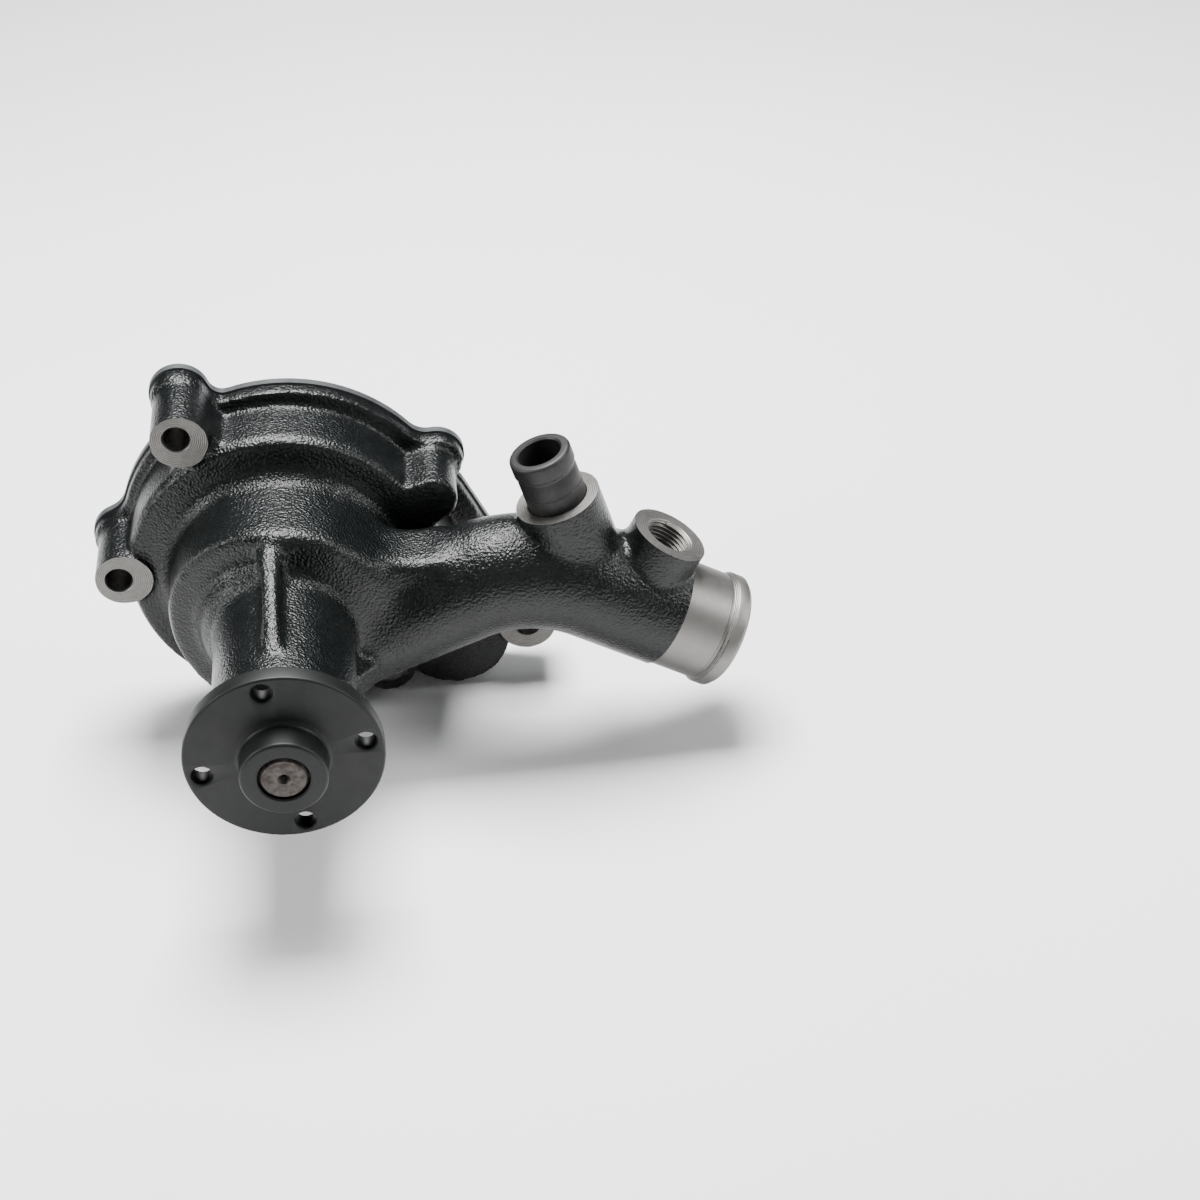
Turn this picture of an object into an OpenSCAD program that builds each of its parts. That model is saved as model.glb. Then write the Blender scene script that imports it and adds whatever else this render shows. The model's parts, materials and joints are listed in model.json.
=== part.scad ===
// Engine water pump: cast housing with a suction chamber, a volute and an inlet pipe,
// an integral shaft bearing, a spring-loaded face seal and an open impeller.
// The shaft lies along Y with the drive hub to the front (-Y) and the flat
// mounting face of the gasket at Y = 0. The shaft axis passes through the origin.
// Inside every module the pump stands on its mounting face: local x is X,
// local y is the pump's Z, and local z is the height forward of that face.

/* [Drive end] */
// Outer diameter of the drive hub flange
hub_d = 65; // [56:1:80]
// Thickness of the drive hub flange
hub_flange_t = 6.5; // [5:0.5:10]
// Diameter of the centring pilot
pilot_d = 28.5; // [24:0.5:34]
// Length of the centring pilot in front of the flange
pilot_len = 10.5; // [6:0.5:16]
// Pitch circle of the tapped pulley holes
hub_pcd = 54; // [48:0.5:54]
// Tapping diameter of the pulley holes, for an M8 thread
hub_hole_d = 6.8; // [5:0.1:8]
// Turn of the first pulley hole above the X axis
hub_clock = 8; // [0:1:89]
// Diameter of both ends of the shaft
shaft_end_d = 15.92; // [13:0.02:19.2]
// Gap between the snout and the hub flange
hub_gap = 3.8; // [2:0.2:12]

/* [Snout and bearing] */
// Wall of the snout around the bearing
snout_wall = 4.95; // [4:0.05:8]
// Outer diameter of the bearing ring
bearing_d = 38.1; // [34:0.1:48]
// Wall of the bearing ring
bearing_ring_t = 4.85; // [4:0.05:5.5]
// Length of the bearing ring
bearing_len = 46; // [40:0.2:58]
// Diameter of the bearing balls
ball_d = 7.94; // [7:0.02:8.2]
// Depth of the ball grooves in the ring and in the shaft
race_depth = 1.61; // [1.2:0.01:1.9]

/* [Casting] */
// Diameter of the volute outside
volute_d = 110; // [104:1:134]
// Outer diameter of the suction chamber
drum_d = 80; // [76:1:90]
// Depth of the suction chamber beyond the bore of the pipe
chamber_room = 5; // [4:0.5:12]
// Height of the step face above the mounting face
step_h = 32.5; // [30:0.5:38]
// Wall of the volute, the chamber and the step face
wall_t = 5.5; // [4:0.5:7]
// Thickness of the rear flange rim
rim_t = 5; // [4:0.5:8]
// Diameter of the suction eye
eye_d = 48; // [44:1:52]

/* [Inlet pipe] */
// Bore of the pipe
pipe_bore_d = 32; // [28:0.2:38.4]
// Wall of the painted pipe
pipe_wall = 4.5; // [4:0.1:6]
// Wall of the machined hose end
hose_end_wall = 3.7; // [3:0.1:4]
// Height of the hose bead above the hose end
bead_rise = 1.1; // [0.8:0.1:1.5]
// Slope of the pipe where it leaves the chamber
pipe_rise = 20; // [10:1:30]
// Slope of the hose end below the horizontal
pipe_fall = 31; // [20:1:40]
// X of the centre of the hose end's face
pipe_end_x = 153.5; // [145:0.5:175]
// Z of the centre of the hose end's face
pipe_end_z = -31; // [-40:0.5:-20]
// Radius of the bend in the pipe's centre line
pipe_bend_r = 52; // [45:1:60]
// Length of the machined hose end
hose_end_len = 24; // [16:0.5:30]

/* [Bypass tube and sensor port] */
// Outer diameter of the bypass tube
tube_d = 21; // [18:0.5:24]
// Bore of the bypass tube
tube_bore_d = 15.2; // [10:0.2:17]
// Length of the bypass tube outside its boss
tube_len = 20; // [15:0.5:30]
// Diameter of the boss that holds the bypass tube
tube_boss_d = 30; // [26:1:34]
// Diameter of the sensor boss
sensor_boss_d = 28; // [24:1:32]
// Tapping diameter of the sensor port, for an M16 x 1.5 thread
sensor_hole_d = 14.4; // [12:0.1:16]

/* [Mounting] */
// Diameter of the four mounting bolt holes
bolt_hole_d = 9.5; // [8:0.5:11]
// Diameter of the mounting bosses
boss_d = 20; // [18:0.5:22]
// Height of the two tall mounting bosses
boss_h = 34; // [34:0.5:40]
// Height of the two lugs beside the outlet port
lug_h = 23.5; // [20:0.5:28]
// Bore of the outlet port
port_d = 31.8; // [28:0.2:33]
// Width of the mounting face outside the volute
flange_over = 3.3; // [2.5:0.1:6]

/* [Rear cover and gaskets] */
// Thickness of the mounting gasket
gasket_t = 0.8; // [0.5:0.1:1.5]
// Thickness of the steel rear cover
cover_t = 3; // [2:0.5:5]
// Thickness of the gasket under the rear cover
cover_gasket_t = 0.5; // [0.3:0.1:1]
// Overhang of the cover past the mounting gasket
cover_over = 1.8; // [1:0.1:3]

/* [Impeller and seal] */
// Outer diameter of the impeller
impeller_d = 84; // [70:1:90]
// Number of impeller vanes
vane_count = 6; // [4:1:8]
// Running gap in front of the vanes and behind the disc
impeller_gap = 0.8; // [0.5:0.1:1.5]
// Width of the room for the seal around the shaft
seal_room = 10.29; // [10:0.01:11]
// Wire diameter of the seal spring
spring_wire_d = 1.5; // [1:0.1:1.7]

/* [Hidden] */
$fn = 96;
cut = 1;
// Step where two round surfaces would only graze each other
graze = 0.04;

// Heights forward of the mounting face
cover_h = gasket_t;
cover_gasket_h = cover_h + cover_t;
base_h = cover_gasket_h + cover_gasket_t;
rim_h = base_h + rim_t;
drum_depth = pipe_bore_d + chamber_room;
chamber_h = step_h + drum_depth;
bearing_h = chamber_h + 7;
bearing_top_h = bearing_h + bearing_len;
circlip_t = 1.5;
circlip_h = bearing_top_h + 0.1;
snout_top_h = circlip_h + circlip_t + 2.6;
pipe_h = step_h + drum_depth / 2 + 0.5;
hub_back_h = snout_top_h + hub_gap;
hub_face_h = hub_back_h + hub_flange_t;
barrel_h = circlip_h + circlip_t + 0.8;
shaft_top_h = hub_face_h + pilot_len - 0.3;
seal_top_h = chamber_h - 3;
seal_seat_h = seal_top_h - 11.5;
seal_boss_t = 4.6;
seal_boss_top_h = chamber_h - 1.2;

// Points in the plane of the mounting face
volute_r = volute_d / 2;
top_bolt = polar(volute_r + 11.64, 116.4);
left_bolt = polar(volute_r + 3.1, 175.6);
inner_lug = polar(volute_r + 6, -58.9);
outer_lug = polar(volute_r + 38.4, -25.4);
port = polar(volute_r + 18, -38.3);
right_ear = polar(volute_r + 7.4, 23.5);
low_ear = polar(volute_r + 3.3, -114.9);
disc_at = [1.7, 0.7];
lobe_at = [29, -12];
duct_at = [28, -16];
bolts = [top_bolt, left_bolt, inner_lug, outer_lug];
screws = [right_ear, low_ear];
boss_shift = 1.5;
screw_d = 6;
screw_head_d = 11;
screw_len = 15;

// Casting sizes that follow from the driving ones
drum_r = drum_d / 2;
gasket_r = volute_r + flange_over;
ear_r = 8.9;
lobe_r = volute_r - 21;
bearing_r = bearing_d / 2;
snout_r = bearing_r + snout_wall;
shaft_r = shaft_end_d / 2;
seal_bore_r = shaft_r + seal_room;
shaft_room_r = shaft_r + 5.04;
ball_r = ball_d / 2;
race_gap = 0.15;
bearing_bore_r = bearing_r - bearing_ring_t;
journal_r = bearing_bore_r - ball_d + 2 * race_depth;
pitch_r = (bearing_bore_r + journal_r) / 2;
cage_t = 2.6;
cage_web = 0.6;
pocket_r = ball_r + 0.2;
ball_count = floor(180 / asin((pocket_r + cage_web / 2) / (pitch_r - cage_t / 2)));
bearing_seal_t = 1.6;
row_h = [bearing_h + 11, bearing_top_h - 11];
slinger_room_r = bearing_r - 2.5;

// The inlet pipe's centre line: a run off the chamber, a bend and the hose end
pipe_r = pipe_bore_d / 2 + pipe_wall;
hose_end_r = pipe_bore_d / 2 + hose_end_wall;
bead_r = hose_end_r + bead_rise;
bead_len = 6;
pipe_offset = drum_r + 1 - pipe_r;
rise_dir = [cos(pipe_rise), sin(pipe_rise)];
fall_dir = [cos(pipe_fall), -sin(pipe_fall)];
pipe_start = pipe_offset * [sin(pipe_rise), -cos(pipe_rise)];
pipe_end = [pipe_end_x, pipe_end_z];
pipe_corner = meet(pipe_start, rise_dir, pipe_end, fall_dir);
bend_leg = pipe_bend_r * tan((pipe_rise + pipe_fall) / 2);
bend_in = pipe_corner - bend_leg * rise_dir;
bend_out = pipe_corner + bend_leg * fall_dir;
bend_at = bend_in + pipe_bend_r * [sin(pipe_rise), -cos(pipe_rise)];
tube_angle = 105;
tube_rise = pipe_r + 16.8;
tube_face = bend_out - 0.44 * fall_dir + polar(tube_rise, tube_angle);
tube_sink = 14;
sensor_angle = 90 - pipe_fall;
sensor_along = 38;
sensor_rise = pipe_r + 8;
sensor_face = pipe_end - sensor_along * fall_dir + polar(sensor_rise, sensor_angle);

function meet(p, u, q, v) =
  let (k = cross(v, q - p) / cross(v, u)) p + k * u;
function unit(v) = v / norm(v);
function polar(r, angle) = r * [cos(angle), sin(angle)];
function side(v) = [-v[1], v[0]];

// ---- Helpers ----------------------------------------------------------------

// Lays a part that was built standing on its mounting face down along Y.
module pump() rotate([90, 0, 0]) children();

// A flat outline between two heights.
module slab(h0, h1) translate([0, 0, h0]) linear_extrude(h1 - h0) children();

// A disc or a round hole between two heights.
module rod(r, h0, h1, at = [0, 0]) translate([at[0], at[1], h0]) cylinder(r = r, h = h1 - h0);

// A cylinder in the pipe's plane, from one point to another.
module run(p, q, r) {
  d = q - p;
  translate([p[0], p[1], pipe_h]) rotate([0, 0, atan2(d[1], d[0])]) rotate([0, 90, 0])
    cylinder(r = r, h = norm(d));
}

// Two circles and the straight band between their outer tangents.
module link(p, r, q, s) {
  d = norm(q - p);
  u = unit(q - p);
  c = (r - s) / d;
  k = sqrt(1 - c * c);
  up = c * u + k * side(u);
  dn = c * u - k * side(u);
  a = r - graze;
  b = s - graze;
  translate(p) circle(r);
  translate(q) circle(s);
  polygon([p + a * up, p + a * dn, q + b * dn, q + b * up]);
}

// Concave fillets of radius f on both sides, between circle r at p and circle s at q.
module necks(p, r, q, s, f) {
  d = norm(q - p);
  u = unit(q - p);
  a = ((r + f) * (r + f) - (s + f) * (s + f) + d * d) / (2 * d);
  b = sqrt(max((r + f) * (r + f) - a * a, 0));
  for (k = [-1, 1]) {
    at = p + a * u + k * b * side(u);
    difference() {
      polygon([p, at, q]);
      translate(at) circle(f - graze);
    }
  }
}

// An ear of radius s at q on the round disc, with its fillets.
module ear(q, s, f, disc_r) {
  translate(q) circle(s);
  necks(disc_at, disc_r, q, s, f);
}

// The common outline of the rear flange, the cover and the gaskets.
module outline(over) {
  r = gasket_r + over;
  e = ear_r + over;
  n = over * [cos(25), sin(25)];
  translate(disc_at) circle(r);
  ear(top_bolt, e, 7 - over, r);
  ear(left_bolt, e, 12 - over, r);
  ear(low_ear, 6 + over, 14 - over, r);
  ear(right_ear, e - 0.6, 10 - over, r);
  link(inner_lug, e, port, port_d / 2 + 4 + over);
  link(port, port_d / 2 + 4 + over, outer_lug, e);
  polygon([disc_at, right_ear, [64, 13] + n, [81, -24] + n, outer_lug, port, inner_lug]);
}

// A sheet in the common outline.
module sheet(h0, h1, over) {
  slab(h0, h1) outline(over);
  rod(gasket_r / 2, h0, h1, disc_at);
}

module bolt_holes(h0, h1) for (p = bolts) rod(bolt_hole_d / 2, h0, h1, p);

// The volute seen from the front: the round wall and the lobe towards the port.
module volute_outline(inset) {
  link([0, 0], volute_r - inset, lobe_at, lobe_r - inset);
}

// ---- Housing ----------------------------------------------------------------

module housing_flange() {
  slab(base_h, rim_h) outline(cover_over - 0.6);
  slab(rim_h - cut, rim_h + 2) volute_outline(2);
}

module housing_volute() {
  slab(rim_h, step_h - 3) volute_outline(0);
  slab(step_h - 3, step_h) volute_outline(1.2);
  slab(base_h, lug_h - 2.5) link(duct_at, port_d / 2 + 5, port, port_d / 2 + 4.5);
  slab(base_h, step_h + 0.5) link(right_ear * 0.8, 10, right_ear * 0.96, 8.5);
  slab(base_h, lug_h - 4) link(low_ear * 0.8, 8, low_ear, 7);
}

module housing_bosses() {
  for (p = [top_bolt, left_bolt]) {
    c = p - boss_shift * unit(p);
    rod(boss_d / 2, base_h, boss_h, c);
    slab(base_h, step_h - 4) link(c * 0.8, boss_d / 2, c, boss_d / 2 - 1);
  }
  for (p = [inner_lug, outer_lug]) rod(boss_d / 2 + 0.6, base_h, lug_h, p);
}

// The suction chamber: its front falls away on the side opposite the pipe.
module drum(inset, h0, h1) {
  difference() {
    rotate_extrude() polygon([[0, h0], [drum_r - inset, h0], [drum_r - inset, h1 - 4],
      [drum_r - inset - 1.2, h1 - 1.2], [drum_r - inset - 4, h1], [0, h1]]);
    translate([5, 0, h1]) rotate([0, -14, 0]) translate([-drum_r * 2, -drum_d, 0])
      cube([drum_r * 2, drum_d * 2, drum_r]);
  }
}

// Fills the crook between the round chamber and the top of the pipe.
module crook() {
  f = 26;
  r = pipe_r;
  u = rise_dir;
  n = side(u);
  y = r - pipe_offset + f;
  x = sqrt((drum_r + f) * (drum_r + f) - y * y);
  at = x * u + y * n;
  difference() {
    polygon([[0, 0], at, x * u - pipe_offset * n, -pipe_offset * n]);
    translate(at) circle(f - graze);
  }
}

module housing_chamber() {
  drum(0, step_h - 2, chamber_h);
  slab(step_h - 1, step_h + 2.5) circle(drum_r + 2);
  slab(pipe_h - 13, pipe_h + 13) crook();
}

// The round pipe of radius r: its first run, the bend and the start of the last run.
module pipe_solid(r, last) {
  run(pipe_start, bend_in + 0.3 * rise_dir, r);
  translate([bend_at[0], bend_at[1], pipe_h])
    rotate([0, 0, 90 - pipe_fall]) rotate_extrude(angle = pipe_rise + pipe_fall)
    translate([pipe_bend_r, 0]) circle(r - graze);
  run(bend_out - 0.3 * fall_dir, last, r);
}

module housing_pipe() {
  neck = pipe_end - hose_end_len * fall_dir;
  bead = pipe_end - bead_len * fall_dir;
  pipe_solid(pipe_r, neck);
  translate([pipe_start[0], pipe_start[1], pipe_h]) sphere(pipe_r - graze);
  run(neck - fall_dir, bead, hose_end_r);
  run(bead, pipe_end - 1.2 * fall_dir, bead_r);
  run(pipe_end - 1.2 * fall_dir, pipe_end, bead_r - 1);
}

// Turns a boss so that its own axis leaves the pipe at an angle in the pipe's plane.
module on_pipe(face, angle) {
  translate([face[0], face[1], pipe_h]) rotate([0, 0, angle]) rotate([0, 90, 0]) children();
}

module housing_pipe_bosses() {
  on_pipe(tube_face, tube_angle) translate([0, 0, -32]) cylinder(d = tube_boss_d, h = 32);
  on_pipe(sensor_face, sensor_angle) translate([0, 0, -26])
    cylinder(d = sensor_boss_d, h = 26);
}

// A flat-topped web that runs down from the chamber's front edge to the snout.
module web(angle, top_r, reach, w) {
  rotate([0, 0, angle]) translate([0, w / 2, 0]) rotate([90, 0, 0])
    linear_extrude(w) polygon([[snout_r - 4, chamber_h - 6], [top_r, chamber_h - 6],
      [top_r, chamber_h], [snout_r + 1, chamber_h + reach], [snout_r - 4, chamber_h + reach]]);
}

module housing_snout() {
  rod(snout_r, chamber_h - 14, snout_top_h);
  rotate_extrude() polygon([[snout_r - 1, chamber_h - 8], [snout_r + 6, chamber_h - 8],
    [snout_r + 4, chamber_h + 0.5], [snout_r + 1.5, chamber_h + 2], [snout_r - 1, chamber_h + 5]]);
  web(92, 37, 42, 5.5);
  web(-28, 36, 18, 6);
}

module housing_cavities() {
  slab(base_h - cut, step_h - wall_t + 1) volute_outline(wall_t + 1);
  slab(base_h - cut, lug_h - 7) link(duct_at, port_d / 2, port, port_d / 2);
  rod(eye_d / 2, step_h - wall_t, step_h + 2);
  drum(wall_t, step_h + 1, chamber_h - wall_t);
  pipe_solid(pipe_bore_d / 2, pipe_end + 2 * fall_dir);
}

module housing_bores() {
  rod(seal_bore_r, seal_seat_h - cut, seal_top_h);
  rod(shaft_room_r, seal_top_h - cut, chamber_h + cut);
  rod(slinger_room_r, chamber_h, bearing_h + cut);
  rod(bearing_r, bearing_h, snout_top_h + cut);
  rod(bearing_r + 1.2, circlip_h - 0.05, circlip_h + circlip_t + 0.05);
  translate([0, 0, chamber_h + 3.5]) rotate([90, 0, 0]) cylinder(d = 5, h = snout_r + 4);
  bolt_holes(0, boss_h + cut);
  for (p = screws) rod(screw_d / 2, base_h - cut, cover_h + screw_len + 1, p);
  on_pipe(tube_face, tube_angle) translate([0, 0, -tube_sink])
    cylinder(d = tube_d, h = tube_sink + cut);
  on_pipe(tube_face, tube_angle) translate([0, 0, -34]) cylinder(d = tube_bore_d, h = 34);
  on_pipe(sensor_face, sensor_angle) translate([0, 0, -20]) cylinder(d = sensor_hole_d, h = 21);
}

module pump_housing() {
  color("#23272a") pump() difference() {
    union() {
      difference() {
        union() {
          housing_flange();
          housing_volute();
          housing_bosses();
          housing_chamber();
          housing_pipe();
          housing_pipe_bosses();
          housing_snout();
        }
        housing_cavities();
      }
      rod(seal_bore_r + seal_boss_t, seal_seat_h, seal_boss_top_h);
    }
    housing_bores();
  }
}

// ---- Rear cover, gaskets and screws -----------------------------------------

module rear_cover() {
  color("#5b5e5f") pump() difference() {
    sheet(cover_h, cover_gasket_h, cover_over);
    bolt_holes(cover_h - cut, cover_gasket_h + cut);
    rod(port_d / 2, cover_h - cut, cover_gasket_h + cut, port);
    for (p = screws) translate([p[0], p[1], cover_h]) rotate_extrude()
      polygon([[0, -cut], [screw_head_d / 2 + 0.1 + cut, -cut], [screw_d / 2 + 0.2, 2.7],
        [screw_d / 2 + 0.2, cover_t + cut], [0, cover_t + cut]]);
  }
}

module cover_gasket() {
  color("#8d8f86") pump() difference() {
    sheet(cover_gasket_h, base_h, cover_over - 1.2);
    slab(0, step_h) volute_outline(wall_t + 0.6);
    slab(0, step_h) link(duct_at, port_d / 2 + 0.4, port, port_d / 2 + 0.4);
    bolt_holes(0, step_h);
    for (p = screws) rod(screw_d / 2 + 0.3, 0, step_h, p);
  }
}

module mounting_gasket() {
  color("#9fa7ab") pump() difference() {
    sheet(0, gasket_t, 0);
    bolt_holes(-cut, gasket_t + cut);
    rod(port_d / 2, -cut, gasket_t + cut, port);
  }
}

module cover_screws() {
  color("#77797a") pump() for (p = screws) translate([p[0], p[1], cover_h]) difference() {
    rotate_extrude() polygon([[0, 0.1], [screw_head_d / 2 - 0.1, 0.1], [screw_d / 2, 2.6],
      [screw_d / 2, screw_len - 0.6], [screw_d / 2 - 0.6, screw_len], [0, screw_len]]);
    translate([0, 0, -cut]) cylinder(r = 2.1, h = cut + 1.9, $fn = 6);
  }
}

// ---- Bypass tube ------------------------------------------------------------

module bypass_tube() {
  r = tube_d / 2;
  color("#3a3d3f") pump() on_pipe(tube_face, tube_angle) translate([0, 0, -tube_sink])
    rotate_extrude() polygon([[tube_bore_d / 2, 0], [r - 0.6, 0], [r, 0.6],
      [r, tube_sink + tube_len - 9], [r - 0.4, tube_sink + tube_len - 8],
      [r - 0.4, tube_sink + tube_len - 7], [r + 0.4, tube_sink + tube_len - 6],
      [r + 0.4, tube_sink + tube_len - 1], [r - 0.6, tube_sink + tube_len],
      [tube_bore_d / 2 + 0.5, tube_sink + tube_len], [tube_bore_d / 2, tube_sink + tube_len - 0.5]]);
}

// ---- Bearing ----------------------------------------------------------------

module bearing_circlip() {
  out_r = bearing_r + 1.1;
  in_r = bearing_r - 1.5;
  color("#3b3c3e") pump() difference() {
    slab(circlip_h, circlip_h + circlip_t) difference() {
      circle(out_r);
      circle(in_r);
      polygon([[0, 0], out_r * 1.5 * [sin(-14), -cos(14)], out_r * 1.5 * [sin(14), -cos(14)]]);
    }
    for (k = [-1, 1]) rod(0.7, 0, snout_top_h, (in_r + 1.3) * [k * sin(19), -cos(19)]);
  }
}

module bearing_outer_ring() {
  color("#a9abad") pump() difference() {
    rod(bearing_r, bearing_h, bearing_top_h);
    rod(bearing_bore_r, bearing_h - cut, bearing_top_h + cut);
    for (h = row_h) translate([0, 0, h]) rotate_extrude()
      translate([pitch_r, 0]) circle(ball_r + race_gap, $fn = 48);
  }
}

module bearing_seal(h) {
  color("#1d1e20") pump() difference() {
    rod(bearing_bore_r, h, h + bearing_seal_t);
    rod(journal_r + 0.35, h - cut, h + bearing_seal_t + cut);
  }
}

module front_bearing_seal() bearing_seal(bearing_top_h - 2 * bearing_seal_t);
module rear_bearing_seal() bearing_seal(bearing_h + bearing_seal_t);

module ball_row(h) {
  color("#c9cccf") pump() for (k = [0 : ball_count - 1]) rotate([0, 0, 360 * k / ball_count])
    translate([pitch_r, 0, h]) sphere(ball_r, $fn = 48);
}

module front_bearing_balls() ball_row(row_h[1]);
module rear_bearing_balls() ball_row(row_h[0]);

module ball_cage(h) {
  color("#6d5a34") pump() difference() {
    rod(pitch_r + cage_t / 2, h - pocket_r - 1.2, h + pocket_r + 1.2);
    rod(pitch_r - cage_t / 2, h - pocket_r - 2, h + pocket_r + 2);
    for (k = [0 : ball_count - 1]) rotate([0, 0, 360 * k / ball_count])
      translate([pitch_r - 4, 0, h]) rotate([0, 90, 0]) cylinder(r = pocket_r, h = 8);
  }
}

module front_ball_cage() ball_cage(row_h[1]);
module rear_ball_cage() ball_cage(row_h[0]);

// ---- Rotating pieces --------------------------------------------------------

module pump_shaft() {
  color("#b4b6b8") pump() difference() {
    rotate_extrude() polygon([[0, base_h + 3], [shaft_r - 0.8, base_h + 3],
      [shaft_r, base_h + 3.8], [shaft_r, bearing_h - 2.5], [journal_r, bearing_h - 2],
      [journal_r, bearing_top_h + 1.4], [shaft_r, bearing_top_h + 2],
      [shaft_r, shaft_top_h - 0.8], [shaft_r - 0.8, shaft_top_h], [2, shaft_top_h],
      [0, shaft_top_h - 2.4]]);
    for (h = row_h) translate([0, 0, h]) rotate_extrude()
      translate([pitch_r, 0]) circle(ball_r + race_gap, $fn = 48);
  }
}

module drive_hub() {
  r = hub_d / 2;
  p = pilot_d / 2;
  color("#2b2f2f") pump() difference() {
    rotate_extrude() polygon([[0, barrel_h], [bearing_r - 4.5, barrel_h],
      [bearing_r - 3.5, barrel_h + 1], [bearing_r - 3.5, hub_back_h], [r - 0.6, hub_back_h],
      [r, hub_back_h + 0.6], [r, hub_face_h - 0.8], [r - 0.8, hub_face_h],
      [p, hub_face_h], [p, hub_face_h + pilot_len - 1], [p - 1, hub_face_h + pilot_len],
      [0, hub_face_h + pilot_len]]);
    rod(shaft_r, barrel_h - cut, hub_face_h + pilot_len + cut);
    for (k = [0 : 3]) rotate([0, 0, hub_clock + 90 * k]) {
      rod(hub_hole_d / 2, hub_back_h - cut, hub_face_h + cut, [hub_pcd / 2, 0]);
      translate([hub_pcd / 2, 0, hub_face_h]) rotate_extrude()
        polygon([[0, -0.7], [hub_hole_d / 2, -0.7], [hub_hole_d / 2 + 0.7, 0],
          [hub_hole_d / 2 + 0.7, cut], [0, cut]]);
    }
  }
}

module slinger() {
  rim_r = slinger_room_r - 1.5;
  color("#26282a") pump() rotate_extrude() polygon([[shaft_r, chamber_h + 0.8],
    [shaft_r + 3, chamber_h + 0.8], [shaft_r + 3, chamber_h + 2], [rim_r, chamber_h + 2.6],
    [rim_r, chamber_h + 4], [shaft_r, chamber_h + 4]]);
}

impeller_hub_r = shaft_r + 4.04;
vane_t = 3.2;
vane_h = step_h - wall_t + 1 - impeller_gap;
disc_h = base_h + impeller_gap + 1.2;
disc_top_h = disc_h + 3;
hub_top_h = step_h + 4;

// One vane: a slice of a ring that starts at the impeller's hub and leans back outwards.
module vane() {
  arc_r = impeller_d * 0.38;
  intersection() {
    translate([arc_r * 0.62, -arc_r * 0.78]) difference() {
      circle(arc_r + vane_t / 2);
      circle(arc_r - vane_t / 2);
    }
    circle(impeller_d / 2 - graze);
    square(impeller_d / 2);
  }
}

module impeller() {
  color("#4a4b4a") pump() difference() {
    union() {
      rod(impeller_d / 2, disc_h, disc_top_h);
      rod(impeller_hub_r, disc_h, hub_top_h);
      for (k = [0 : vane_count - 1]) rotate([0, 0, 360 * k / vane_count])
        slab(disc_top_h - cut, vane_h) difference() {
          vane();
          circle(impeller_hub_r - 1);
        }
    }
    rod(shaft_r, disc_h - cut, hub_top_h + cut);
  }
}

// ---- Face seal --------------------------------------------------------------

ring_back_h = seal_seat_h - 2.5;
mating_h = hub_top_h + 3;
ring_in_r = shaft_r + 1.24;
ring_out_r = ring_in_r + 5.2;
boot_r = ring_out_r + 1.8;
boot_len = 5;
carbon_in_r = ring_in_r + 0.2;
nose_r = carbon_in_r + 3.6;
carbon_r = carbon_in_r + 5.8;

module mating_ring_boot() {
  color("#1b1c1e") pump() rotate_extrude() polygon([[shaft_r, hub_top_h + 0.3],
    [boot_r, hub_top_h + 0.3], [boot_r, mating_h + boot_len], [ring_out_r, mating_h + boot_len],
    [ring_out_r, mating_h], [shaft_r, mating_h]]);
}

module mating_ring() {
  color("#e4e0d2") pump() difference() {
    rod(ring_out_r, mating_h, ring_back_h - 4.1);
    rod(ring_in_r, mating_h - cut, ring_back_h + cut);
  }
}

module carbon_ring() {
  color("#2a2a2c") pump() rotate_extrude() polygon([[carbon_in_r, ring_back_h - 4],
    [nose_r, ring_back_h - 4], [nose_r, ring_back_h - 2.5], [carbon_r, ring_back_h - 2.5],
    [carbon_r, ring_back_h + 2], [carbon_in_r, ring_back_h + 2]]);
}

module seal_shell() {
  r = seal_bore_r;
  shell_in_r = shaft_r + 3.54;
  color("#b08d45") pump() rotate_extrude() polygon([[r - 1, seal_seat_h], [r + 2.5, seal_seat_h],
    [r + 2.5, seal_seat_h - 1], [r - 1.4, seal_seat_h - 1], [r - 1, seal_seat_h - 0.6]]);
  color("#b08d45") pump() rotate_extrude() polygon([[r, seal_seat_h - 0.2], [r, seal_top_h - 0.1],
    [shell_in_r, seal_top_h - 0.1], [shell_in_r, seal_top_h - 1.1], [r - 1, seal_top_h - 1.1],
    [r - 1, seal_seat_h - 0.2]]);
}

module seal_bellows() {
  b = ring_back_h + 2.1;
  t = seal_top_h - 1.2;
  m = (b + t) / 2;
  i = carbon_in_r + 0.4;
  o = i + 4.4;
  color("#202124") pump() rotate_extrude() polygon([[i, b], [o, b], [o, b + 1.6],
    [o - 2.6, m], [o, t - 1.6], [o, t], [i, t], [i, t - 1.2], [o - 1.8, t - 2],
    [i + 0.2, m], [o - 1.8, b + 2], [i, b + 1.2]]);
}

// Points of a coil of wire: rings of sides round a helix, closed at both ends.
spring_turns = 3.5;
spring_steps = 20;
spring_sides = 8;
spring_r = seal_bore_r - 1.3 - spring_wire_d / 2;

function coil_point(k, j, r, h0, h1, w) =
  let (n = spring_turns * spring_steps, a = 360 * k / spring_steps, b = 360 * j / spring_sides)
  [(r + w * cos(b)) * cos(a), (r + w * cos(b)) * sin(a), h0 + (h1 - h0) * k / n + w * sin(b)];

module seal_spring() {
  w = spring_wire_d / 2;
  h0 = ring_back_h + 2.2 + w;
  h1 = seal_top_h - 1.3 - w;
  n = spring_turns * spring_steps;
  s = spring_sides;
  color("#9a9c9e") pump() polyhedron(
    points = [for (k = [0 : n]) for (j = [0 : s - 1]) coil_point(k, j, spring_r, h0, h1, w)],
    faces = concat(
      [[for (j = [0 : s - 1]) j]],
      [[for (j = [s - 1 : -1 : 0]) n * s + j]],
      [for (k = [0 : n - 1]) for (j = [0 : s - 1])
        [k * s + j, (k + 1) * s + j, (k + 1) * s + (j + 1) % s, k * s + (j + 1) % s]]));
}

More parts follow.
